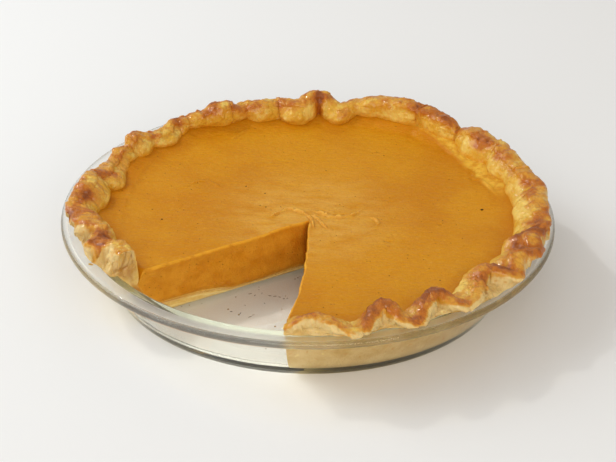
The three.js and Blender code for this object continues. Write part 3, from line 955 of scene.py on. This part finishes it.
# custard: level, climbing a little up the dough, with knife marks and smears near the tip
custard = {
    "level": 30.0, "overlap": 0.5, "sink": 0.2,
    "columns": 464, "coarse": 8,
    "edgeDrop": 0.25,                          # the underside ends this far below the top's edge
    "edgeRows": (0.4, 0.75, 1.0),              # its last rows, as shares of the way up to there
    "rows": 168, "rowPower": 1.2,              # rows lie closer together near the tip
    "shrink": 0.1,                             # degrees that its cut faces stand back from the pastry's
    "faceRows": 22, "rounding": 1.0,
    "faceWaves": 0.3, "facePores": 0.35,
    "faceFrom": 4.0,                           # the faces bulge from this far from the tip
    "edgeHighlightDepths": (2.2, 0.2),                   # the painted highlight along their upper edge fades between these depths
    "leastEdge": 101.3,                        # its top reaches at least this radius
    "waves": 0.25, "drags": 0.08, "pits": 0.5, "bubbles": 0.9,
    "smear": (1.0, 15.0, 9.0, 30.0),           # by the left cut: height, distance, spread and its angle
    "tip": (0.5, 14.0),                        # height and spread of the mound at the tip
    "meniscus": (0.92, 1.0),                   # shares of the way between which it climbs the dough
    "ridgeAt": (14.1, 18.7, 26.5, 38.7, 49.0, 58.4, 64.0, 74.5),
    "ridge": (98.6, 97.5, 96.5, 100.2, 105.0, 110.5, 112.0, 111.6),
    "ridgeEnds": (11.1, 20.1, 76.5, 66.5),
}

# marks left in its top: height, half width, then the path in plan
strokes = [
    (1.1, 0.65,
     [(-18.8, -1.6), (-16.4, 1.4), (-13.3, 5.1), (-10.5, 6.8), (-7.6, 6.5), (-2.7, 3.4), (0.6, 0.4)]),
    (1.1, 0.55, [(-0.5, 0.8), (1.7, -2.6), (2.4, -7.6), (2.6, -13.0)]),
    (1.3, 0.65,
     [(2.6, 5.6), (6.9, 2.6), (10.9, -0.3), (15.9, -0.7), (20.8, 1.0), (24.8, 4.2), (28.9, 10.5)]),
    (-0.5, 1.4, [(4.0, 7.0), (8.0, 4.4), (12.0, 2.0), (16.5, 1.6), (21.0, 3.4)]),
    (0.7, 0.7, [(30.7, 0.3), (33.7, -1.7), (35.1, -5.7), (34.0, -9.7), (31.0, -11.8)]),
    (1.0, 0.55, [(2.0, 1.0), (4.6, -2.3), (7.4, -8.3), (9.6, -12.4)]),
    (0.7, 0.6,
     [(-65.1, 26.7), (-60.2, 31.1), (-56.3, 34.4), (-51.8, 35.6), (-48.1, 32.5), (-43.8, 27.3)]),
    (0.55, 0.9, [(-41.2, 80.5), (-37.8, 87.5), (-34.2, 92.3), (-31.6, 94.7)]),
    (0.25, 1.4, [(-30.0, 56.0), (-20.0, 55.0), (-12.0, 57.0), (-6.0, 52.0)]),
    (0.25, 1.6, [(-26.0, 33.0), (-14.0, 36.0), (2.0, 33.0), (16.0, 34.0)]),
    (0.35, 1.6,
     [(-92.0, -22.0), (-93.5, -4.0), (-91.5, 10.0), (-90.2, 23.8), (-84.5, 51.0), (-77.5, 62.3)]),
    (0.9, 0.9, [(29.9, 107.5), (48.6, 100.9), (58.0, 94.1), (69.0, 79.3), (78.2, 62.6), (86.4, 43.0)]),
    (0.6, 0.9, [(86.4, 43.0), (92.3, 33.3), (95.6, 24.1)]),
    (-0.45, 1.2, [(64.2, -6.6), (66.4, -7.2)]),
    (-0.25, 1.0, [(37.1, -24.5), (39.1, -22.5), (41.0, -25.4)]),
]

# clusters of burst bubbles: place in plan, spread in width and depth, and how deep they are
bubbles = np.array([
    (-13.0, 56.0, 13.0, 5.0, 1.0), (-51.0, 35.0, 10.0, 7.0, 0.8), (39.5, -20.0, 6.0, 5.0, 1.0),
    (10.0, -3.0, 8.0, 4.0, 0.8), (60.0, 86.0, 14.0, 9.0, 0.9), (84.0, 46.0, 8.0, 14.0, 0.9),
])

# dark grains of spice that stand out, by place in plan and size
grains = np.array([
    (86.9, 9.0, 0.9), (39.2, 65.8, 0.45), (71.9, 40.2, 0.3), (48.4, -36.8, 0.4), (62.8, -59.9, 0.5),
    (10.3, -83.8, 0.3), (-77.6, 5.4, 0.45), (-72.3, -4.7, 0.5), (-31.7, 29.7, 0.5), (-21.1, 9.0, 0.5),
    (-27.1, -9.4, 0.4), (-56.5, 32.8, 0.4), (-2.2, 25.3, 0.35), (-21.9, 22.6, 0.4), (-73.7, 43.1, 0.35),
    (-46.5, 67.7, 0.35), (-23.6, 86.8, 0.45), (-78.7, 61.2, 0.35),
])


def strokeHeights(points):
    # each stroke is a bell across its path with a groove at the right of it, broken by noise and
    # fading out at both ends
    plan = points[..., :2]
    level = points * np.array([1.0, 1.0, 0.0])
    broken = 0.35 + 0.65 * smooth(-0.5, 0.3, layeredNoise(level, 2.2, 195, 2))
    total = np.zeros(plan.shape[:-1])
    for height, width, path in strokes:
        path = np.array(path)
        nearest = np.full(total.shape, np.inf)
        place, side = np.zeros(total.shape), np.ones(total.shape)
        for number, (start, end) in enumerate(zip(path[:-1], path[1:])):
            run, away = end - start, plan - start
            share = np.clip((away * run).sum(-1) / (run * run).sum(), 0.0, 1.0)
            gap = np.linalg.norm(away - share[..., None] * run, axis=-1)
            right = np.sign(run[1] * away[..., 0] - run[0] * away[..., 1])
            place = np.where(gap < nearest, (number + share) / (len(path) - 1), place)
            side = np.where(gap < nearest, right, side)
            nearest = np.minimum(gap, nearest)
        fade = smooth(-0.05, 0.2, place) * smooth(1.05, 0.8, place)
        across = nearest * side / width
        total += height * fade * (bump(across, 0.0, 1.0) - 0.35 * bump(across, 1.7, 0.9))
    return total * broken


def bubbleDepths(points):
    # small pits where a fine noise is high, only inside the clusters' bells
    away = (points[..., None, :2] - bubbles[:, :2]) / bubbles[:, 2:4]
    inside = (bubbles[:, 4] * np.exp(-(away ** 2).sum(-1))).max(-1)
    return custard["bubbles"] * inside * np.maximum(softNoise(points, 2.2, 191) - 0.25, 0.0)


def skinOver(points):
    # 1 past the ridge at the back right, where dough shows through a thin skin of custard
    _, _, radius, azimuth = polar(points)
    ridge = np.interp(azimuth, custard["ridgeAt"], custard["ridge"])
    ends = spanning(azimuth, custard["ridgeEnds"])
    return ends * smooth(-0.8, 1.2, radius - ridge + 1.2 * layeredNoise(points, 6.0, 181, 2))


def custardEdge(direction):
    # the radius and height at which the custard's top meets the dough
    rim = rimLines()
    own, near = nearSamples(direction, rim)
    inner = rim["inner"][near[:, pastry["nearby"]]] + grooveDepth(np.degrees(own))
    notch = notchAt(direction)
    radius = between(np.maximum(inner, custard["leastEdge"]), inner, notch) + custard["overlap"]
    return radius, between(shoreHeight(radius), pastry["notchFoot"] + 0.6, notch)


def custardTop(direction, share):
    # points of the top at a share of the way from the tip to the dough: broad waves, fine drag marks,
    # pits, the strokes, a smear along the left cut and a meniscus where it meets the dough
    edgeRadius, edgeHeight = custardEdge(direction)
    distance = reach(direction, edgeRadius)[:, None] * share
    top = swept(direction, np.stack([distance, distance * 0.0], -1))
    turn = np.degrees(direction)[:, None]
    waves = custard["waves"] * layeredNoise(top, 30.0, 131, 2)
    drags = custard["drags"] * layeredNoise(top * np.array([0.4, 1.0, 1.0]), 3.0, 141, 2)
    pits = custard["pits"] * np.maximum(softNoise(top, 1.8, 151) - 0.7, 0.0) + bubbleDepths(top)
    rise, place, spread, angle = custard["smear"]
    smear = rise * bump(distance, place, spread) * bump(turn, cut["left"], angle)
    rise, spread = custard["tip"]
    mound = rise * bump(distance, 0.0, spread)
    height = custard["level"] + waves + drags - pits + strokeHeights(top) + smear + mound
    toEdge = smooth(*custard["meniscus"], share) ** (1.0 + 5.0 * notchAt(direction))[:, None]
    top[..., 2] = between(height, edgeHeight[:, None] + 0.12 * drags, toEdge)
    return top


def buildCustard(material):
    # a coarse underside that fits the dough, the fine top, a seam between them and two cut faces
    bounds = np.array([cut["right"] + custard["shrink"], cut["left"] - custard["shrink"]])
    fineTurn = np.radians(np.linspace(*bounds, custard["columns"] + 1))
    coarseTurn = fineTurn[::custard["coarse"]]
    floor = dish["glass"] + pastry["base"] - custard["sink"]
    inset = dish["glass"] + pastry["wall"] - custard["overlap"]

    def outlineTo(top):
        bend = corner(floor, inset, pastry["corner"] + custard["sink"], pastry["cornerPoints"])
        return np.concatenate([[(0.0, floor)], bend, [(wallRadius(top, inset), top)]])

    climb = np.array(custard["edgeRows"])[None, :, None]
    lower = wallRows(coarseTurn, outlineTo, custard["rows"] - climb.size)
    edgeRadius, edgeHeight = custardEdge(coarseTurn)
    rim = np.stack([reach(coarseTurn, edgeRadius), edgeHeight - custard["edgeDrop"]], -1)[:, None, :]
    lower = np.concatenate([lower, between(lower[:, -1:], rim, climb)], 1)
    share = np.linspace(1.0, 0.0, custard["rows"]) ** custard["rowPower"]
    top = custardTop(fineTurn, share)
    shape = Shape("cut", "shore", "lip", "skin", "mark")
    below = shape.add(bowed(swollen(swept(coarseTurn, lower))))
    above = shape.add(bowed(top), shore=share, skin=skinOver(top), mark=strokeHeights(top))
    shape.close(gridFaces(below))
    shape.close(seamFaces(below[:, -1], above[:, 0]))
    shape.close(gridFaces(above))
    places = np.concatenate(shape.points)
    rise = np.sin(np.linspace(0.0, 0.5 * np.pi, custard["faceRows"] + 1))[1:-1, None, None]
    for column, flip in ((0, False), (-1, True)):
        low, high = below[column], above[column, ::-1]
        rows = between(places[low][None], places[high][None], rise)
        span, _, _, _ = polar(rows)
        depth = places[high][None, :, 2] - rows[..., 2]
        flat = np.stack([span * 0.25, rows[..., 2], span * 0.0], -1)
        ease = np.sqrt(1.0 - (1.0 - np.clip(depth / custard["rounding"], 0.0, 1.0)) ** 2)
        pores = -custard["facePores"] * np.maximum(softNoise(rows, 1.5, 171) - 0.55, 0.0)
        waves = custard["faceWaves"] * layeredNoise(flat, 3.0, 161)
        swell = ease * (custard["rounding"] + waves + pores)
        rows = rows + outOfCut(flip) * (swell * smooth(0.0, custard["faceFrom"], span))[..., None]
        # the lip value places a painted highlight along the faces' upper edge
        inner = shape.add(rows, cut=1.0, lip=smooth(*custard["edgeHighlightDepths"], depth))
        shape.close(gridFaces(np.concatenate([low[None], inner, high[None]])), flip)
    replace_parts(shape.make("custard", material), "filling")


# the custard's screen colours
pumpkin = {
    "clouds": ((201, 129, 12), (211, 143, 20)),            # two broad shades
    "paleWithPaintedLight": (226, 172, 76),                    # painted sheen near the tip
    "darkStreak": (188, 114, 6), "paleStreak": (228, 172, 66),
    # the ridge colour is a painted highlight on the strokes' crests, the groove colour painted shade on
    # their low side
    "ridge": (242, 194, 92), "groove": (176, 102, 8), "spot": (170, 92, 6),
    "shore": (192, 114, 4), "skin": (232, 182, 66),
    # the second colour here is a painted highlight along the cut faces' upper edge
    "face": ((199, 124, 20), (214, 144, 36)), "faceEdgeHighlight": (236, 172, 48),
}


def pumpkinCustard():
    # clouds of two shades, with a painted sheen that makes them paler near the tip, fine streaks, marks
    # with a painted highlight on their crests and painted shade beside them, and spots, browner at the
    # dough, where a skin shows over it, and the cut faces with a painted highlight along their upper edge
    shader = Shader("pumpkin_custard")
    shore, torn, edge, mark = (shader.field(name) for name in ("shore", "cut", "lip", "mark"))
    clouds = shader.noise(46.0, 3.0)
    streaks = shader.noise(7.0, 3.0, 0.6, shader.stretched(0.45, 1.0, 0.5))
    fine = shader.noise(1.4, 3.0, 0.7, shader.stretched(0.65, 1.0, 0.6))
    mottle = shader.noise(7.0, 3.0, 0.6)
    colour = shader.paint(*map(tint, pumpkin["clouds"]), clouds, 0.36, 0.64)
    # painted sheen: paler towards the tip, in streaks
    paleWithPaintedLight = shader.math("MULTIPLY", shader.ramp(shore, 0.6, 0.1, 0.0, 0.8), shader.ramp(streaks, 0.2, 0.7))
    colour = shader.blend(paleWithPaintedLight, colour, tint(pumpkin["paleWithPaintedLight"]))
    colour = shader.paint(colour, tint(pumpkin["darkStreak"]), fine, 0.45, 0.66, 0.24)
    colour = shader.paint(colour, tint(pumpkin["paleStreak"]), fine, 0.45, 0.28, 0.24)
    # painted highlight on the strokes' crests and painted shade on their low side
    colour = shader.paint(colour, tint(pumpkin["ridge"]), mark, 0.3, 1.2, 0.6)
    colour = shader.paint(colour, tint(pumpkin["groove"]), mark, -0.1, -0.5, 0.5)
    colour = shader.paint(colour, tint(pumpkin["spot"]), shader.noise(1.3, 1.0), 0.69, 0.75, 0.5)
    rim = shader.math("ADD", shore, shader.math("MULTIPLY", shader.math("SUBTRACT", mottle, 0.5), 0.16))
    colour = shader.paint(colour, tint(pumpkin["shore"]), rim, 0.86, 0.99, 0.6)
    thin = shader.ramp(shader.noise(3.5, 3.0), 0.35, 0.62, 0.3, 0.9)
    skin = shader.math("MULTIPLY", shader.field("skin"), thin)
    colour = shader.blend(skin, colour, tint(pumpkin["skin"]))
    face = shader.paint(*map(tint, pumpkin["face"]), mottle, 0.3, 0.7)
    colour = shader.paint(colour, face, torn, 0.0, 1.0, 0.9)
    # painted highlight along the cut faces' upper edge, broken by noise
    edge = shader.math("MULTIPLY", edge, shader.ramp(shader.noise(4.0, 3.0), 0.3, 0.6, 0.3, 1.0))
    colour = shader.paint(colour, tint(pumpkin["faceEdgeHighlight"]), edge, 0.0, 1.0, 0.8)
    grain = shader.math("MULTIPLY", shader.noise(0.9, 3.0, 0.65), shader.ramp(torn, 0.0, 1.0, 0.6, 1.0))
    ripples = shader.noise(1.7, 3.0, 0.6, shader.stretched(0.4, 1.0, 0.6))
    return shader.finish(
        Base_Color=colour,
        Roughness=shader.ramp(mottle, 0.3, 0.7, 0.28, 0.42),
        Specular_IOR_Level=0.13,
        Subsurface_Weight=0.15,
        Subsurface_Radius=(1.0, 0.45, 0.12),
        Subsurface_Scale=0.003,
        Normal=shader.relief(ripples, 0.45, shader.relief(grain, 0.35)),
    )


# loose bits: grains of spice in the custard, and crumbs of dough beside the cuts and on the glass
bits = {
    "spice": 300, "spiceSize": (0.12, 0.3),
    "spiceMargin": 2.0, "spiceSpan": (0.01, 0.94),         # degrees from the cuts, and shares outward
    "faceSpice": 70, "faceSpan": (6.0, 92.0), "faceHeight": (9.5, 28.5),
    "crumbs": 22, "crumbSize": (0.3, 0.75), "crumbSpan": (8.0, 86.0),
    "crumbGap": (1.5, 9.0, 3.2),               # least gap to a cut, spread, and extra at the right
    "leftShare": 0.6,                          # of the fine crumbs, how many lie by the left cut
    "fleckHeight": 0.15,
    "darkSpice": ((34, 18, 8), (112, 64, 16)), "dryCrumb": ((216, 172, 70), (104, 66, 28)),
}

# single crumbs: place, then length, width and height, turn in degrees and how dark it is
crumbs = np.array([
    (-32.6, -51.8, 4.0, 0.8, 0.5, 0.3, 80.0, 0.7),
    (-102.9, -52.1, 31.0, 1.5, 0.6, 0.5, -25.0, 0.3),
    (-38.0, -47.0, 4.0, 0.5, 0.4, 0.3, 0.0, 0.7), (-15.0, -62.0, 4.0, 0.6, 0.4, 0.3, 30.0, 0.6),
    (111.0, -38.0, 31.0, 0.8, 0.5, 0.4, 10.0, 0.9),
])

# burnt flecks on the glass: place in plan, length, width and turn in degrees
flecks = np.array([
    (-27.9, -32.2, 1.0, 0.25, 20.0), (-25.5, -33.6, 0.7, 0.2, 60.0), (-18.1, -33.8, 0.9, 0.25, -20.0),
    (-15.6, -34.2, 1.0, 0.25, 10.0), (-13.4, -34.8, 0.8, 0.2, -30.0), (-11.2, -36.5, 0.6, 0.3, 10.0),
    (-9.6, -36.0, 0.6, 0.2, 50.0), (-22.0, -31.5, 0.6, 0.2, 75.0), (-32.0, -50.5, 0.8, 0.2, 60.0),
    (-27.3, -53.5, 1.2, 0.2, 40.0), (-25.8, -51.9, 0.9, 0.18, 35.0), (-36.5, -49.0, 0.7, 0.3, 0.0),
    (-30.0, -43.0, 0.5, 0.2, 110.0), (-20.5, -41.0, 0.5, 0.2, 45.0),
])


def lumps(places, sizes, turns, seed):
    # a twenty-sided lump at each place, uneven, stretched to its three sizes and turned about the upright
    draw = np.random.default_rng(seed)
    ring = np.radians(np.arange(5) * 72.0)
    level = [np.concatenate([heading(ring + turn) * 0.9, np.full((5, 1), height)], -1)
             for turn, height in ((0.0, -0.45), (0.63, 0.45))]
    ball = np.concatenate([[(0.0, 0.0, -1.0)], *level, [(0.0, 0.0, 1.0)]])
    ball = ball[None] * sizes[:, None, :] * draw.uniform(0.75, 1.2, (len(places), len(ball), 1))
    cos, sin = np.cos(turns)[:, None], np.sin(turns)[:, None]
    x, y, z = ball[..., 0], ball[..., 1], ball[..., 2]
    turned = np.stack([x * cos - y * sin, x * sin + y * cos, z], -1)
    a, b = np.arange(5), (np.arange(5) + 1) % 5
    faces = np.concatenate([
        np.stack([a * 0, b + 1, a + 1], -1), np.stack([a + 1, b + 1, a + 6], -1),
        np.stack([b + 1, b + 6, a + 6], -1), np.stack([a + 6, b + 6, a * 0 + 11], -1),
    ])
    return places[:, None, :] + turned, faces


def buildScatter(name, places, sizes, turns, seed, material, slot, **fields):
    # all lumps of one kind as one piece, with a field's value for each lump
    points, faces = lumps(places, sizes, turns, seed)
    shape = Shape(*fields)
    numbers = shape.add(points, **{key: value[:, None] for key, value in fields.items()})
    shape.close(numbers[:, faces].reshape(-1, 3))
    return shape.make(name, material)


def buildSpice(material):
    # grains strewn over the custard's top and left cut face, half sunk in it
    draw = np.random.default_rng(7)
    count, faceCount = bits["spice"], bits["faceSpice"]
    margin = bits["spiceMargin"]
    direction = np.radians(draw.uniform(cut["right"] + margin, cut["left"] - margin, count))
    share = np.sqrt(draw.uniform(*bits["spiceSpan"], count))
    size = draw.uniform(*bits["spiceSize"], count) * draw.uniform(0.6, 1.3, count)
    away, ownTurn, _, _ = polar(grains)
    ownTurn = np.radians(ownTurn)
    direction = np.concatenate([direction, ownTurn])
    share = np.concatenate([share, away / reach(ownTurn, custardEdge(ownTurn)[0])])
    onTop = bowed(custardTop(direction, share[:, None]))[:, 0, :]
    span = draw.uniform(*bits["faceSpan"], faceCount)
    height = draw.uniform(*bits["faceHeight"], faceCount)
    turn = np.radians(cut["left"] - custard["shrink"])
    out = np.array([-np.sin(turn), np.cos(turn)]) * custard["rounding"] * 0.95
    plan = cut["tip"] + span[:, None] * heading(turn) + out
    places = np.concatenate([onTop, np.concatenate([plan, height[:, None]], -1)])
    size = np.concatenate([size, grains[:, 2], draw.uniform(*bits["spiceSize"], faceCount)])
    sizes = size[:, None] * draw.uniform((0.8, 0.6, 0.4), (1.3, 1.0, 0.6), (len(size), 3))
    turns = draw.uniform(0.0, 2.0 * np.pi, len(size))
    buildScatter("spice_grains", places, sizes, turns, 8, material, "pumpkin_custard")


def buildFlecks(material):
    # flat flecks that lie on the glass
    thick = np.full((len(flecks), 1), bits["fleckHeight"])
    places = np.concatenate([flecks[:, :2], dish["glass"] + 0.8 * thick], -1)
    sizes = np.concatenate([flecks[:, 2:4], thick], -1)
    buildScatter("burnt_flecks", places, sizes, np.radians(flecks[:, 4]), 12, material, "pumpkin_custard")


def darkSpice():
    # almost black to dark brown, from grain to grain
    shader = Shader("dark_spice")
    shade = shader.ramp(shader.noise(6.0, 1.0), 0.35, 0.65)
    colour = shader.blend(shade, *map(tint, bits["darkSpice"]))
    return shader.finish(Base_Color=colour, Roughness=0.7, Specular_IOR_Level=0.1)


def dryCrumb():
    # golden to burnt, as baked as each crumb says
    shader = Shader("dry_crumb")
    bake = shader.ramp(shader.field("bake"), 0.0, 1.0)
    colour = shader.blend(bake, *map(tint, bits["dryCrumb"]))
    return shader.finish(Base_Color=colour, Roughness=0.7, Specular_IOR_Level=0.1)


def buildCrumbs(material):
    # the single crumbs, and fine ones strewn on the glass along both cuts
    draw = np.random.default_rng(9)
    count = bits["crumbs"]
    along = draw.uniform(*bits["crumbSpan"], count)
    left = draw.uniform(0.0, 1.0, count) < bits["leftShare"]
    turn = np.radians(np.where(left, cut["left"], cut["right"]))
    nearest, width, more = bits["crumbGap"]
    off = nearest + width * draw.uniform(0.0, 1.0, count) ** 2
    off = np.where(left, off, -off - more)
    side = np.stack([-np.sin(turn), np.cos(turn)], -1)
    plan = cut["tip"] + along[:, None] * heading(turn) + off[:, None] * side
    size = draw.uniform(*bits["crumbSize"], count) ** 1.5
    sizes = size[:, None] * draw.uniform((0.7, 0.5, 0.4), (1.3, 0.9, 0.6), (count, 3)) * 0.8
    sizes = np.concatenate([sizes, crumbs[:, 3:6]])
    places = np.concatenate([plan, np.full((count, 1), dish["glass"])], -1)
    places = np.concatenate([places, crumbs[:, :3]])
    places[:, 2] += 0.7 * sizes[:, 2]
    turns = np.concatenate([draw.uniform(0.0, 2.0 * np.pi, count), np.radians(crumbs[:, 6])])
    bake = np.concatenate([draw.uniform(0.3, 1.3, count), crumbs[:, 7]])
    buildScatter("crumbs", places, sizes, turns, 10, material, "baked_pastry", bake=bake)


# floor and light
studio = {
    "floor": (239, 239, 241),
    "size": 3.0,
    "sky": (1.0, 0.945, 0.86), "skyStrength": 0.545,
    # place, width, depth, watts and colour of each lamp, all turned to the pie
    "lamps": {
        "window": ((-0.9, 0.32, 0.75), 0.85, 0.85, 6.4, (0.84, 0.945, 1.0)),
        "bounce": ((0.25, -1.9, 0.9), 2.4, 1.0, 20.0, (1.0, 0.97, 0.9)),
        "low": ((-1.35, -0.95, 0.28), 0.8, 0.35, 1.6, (1.0, 0.985, 0.95)),
        "sparkle": ((-0.8, 0.55, 1.05), 0.06, 0.06, 2.4, (1.0, 0.98, 0.94)),
    },
}


def buildStudio():
    # a plain table under an even sky, with a broad lamp at the left, a broader one in front, a low one
    # at the front left and a small bright one that gives the highlights
    shader = Shader("table")
    material = shader.finish(Base_Color=tint(studio["floor"]), Roughness=0.8)
    size = studio["size"]
    mesh = bpy.data.meshes.new("table")
    mesh.from_pydata([(-size, -size, 0.0), (size, -size, 0.0), (size, size, 0.0), (-size, size, 0.0)], [],
                     [(0, 1, 2, 3)])
    mesh.materials.append(material)
    table = bpy.data.objects.new("table", mesh)
    scene.collection.objects.link(table)
    world = bpy.data.worlds.new("room")
    world.use_nodes = True
    sky = world.node_tree.nodes["Background"]
    sky.inputs["Color"].default_value = (*studio["sky"], 1.0)
    sky.inputs["Strength"].default_value = studio["skyStrength"]
    scene.world = world
    for name, (spot, width, depth, watts, colour) in studio["lamps"].items():
        light = bpy.data.lights.new(name, "AREA")
        light.shape = "RECTANGLE"
        light.size, light.size_y = width, depth
        light.energy, light.color = watts, colour
        lamp = bpy.data.objects.new(name, light)
        lamp.location = spot
        lamp.visible_transmission = False
        lamp.rotation_euler = Vector(spot).to_track_quat("Z", "Y").to_euler()
        scene.collection.objects.link(lamp)
    scene.view_settings.view_transform = "Standard"
    print("table, sky and", len(studio["lamps"]), "lamps in place")


buildDish(clearGlass())
buildPastry(bakedPastry())
buildCustard(pumpkinCustard())
spice = darkSpice()
buildSpice(spice)
buildFlecks(spice)
buildCrumbs(dryCrumb())
buildStudio()
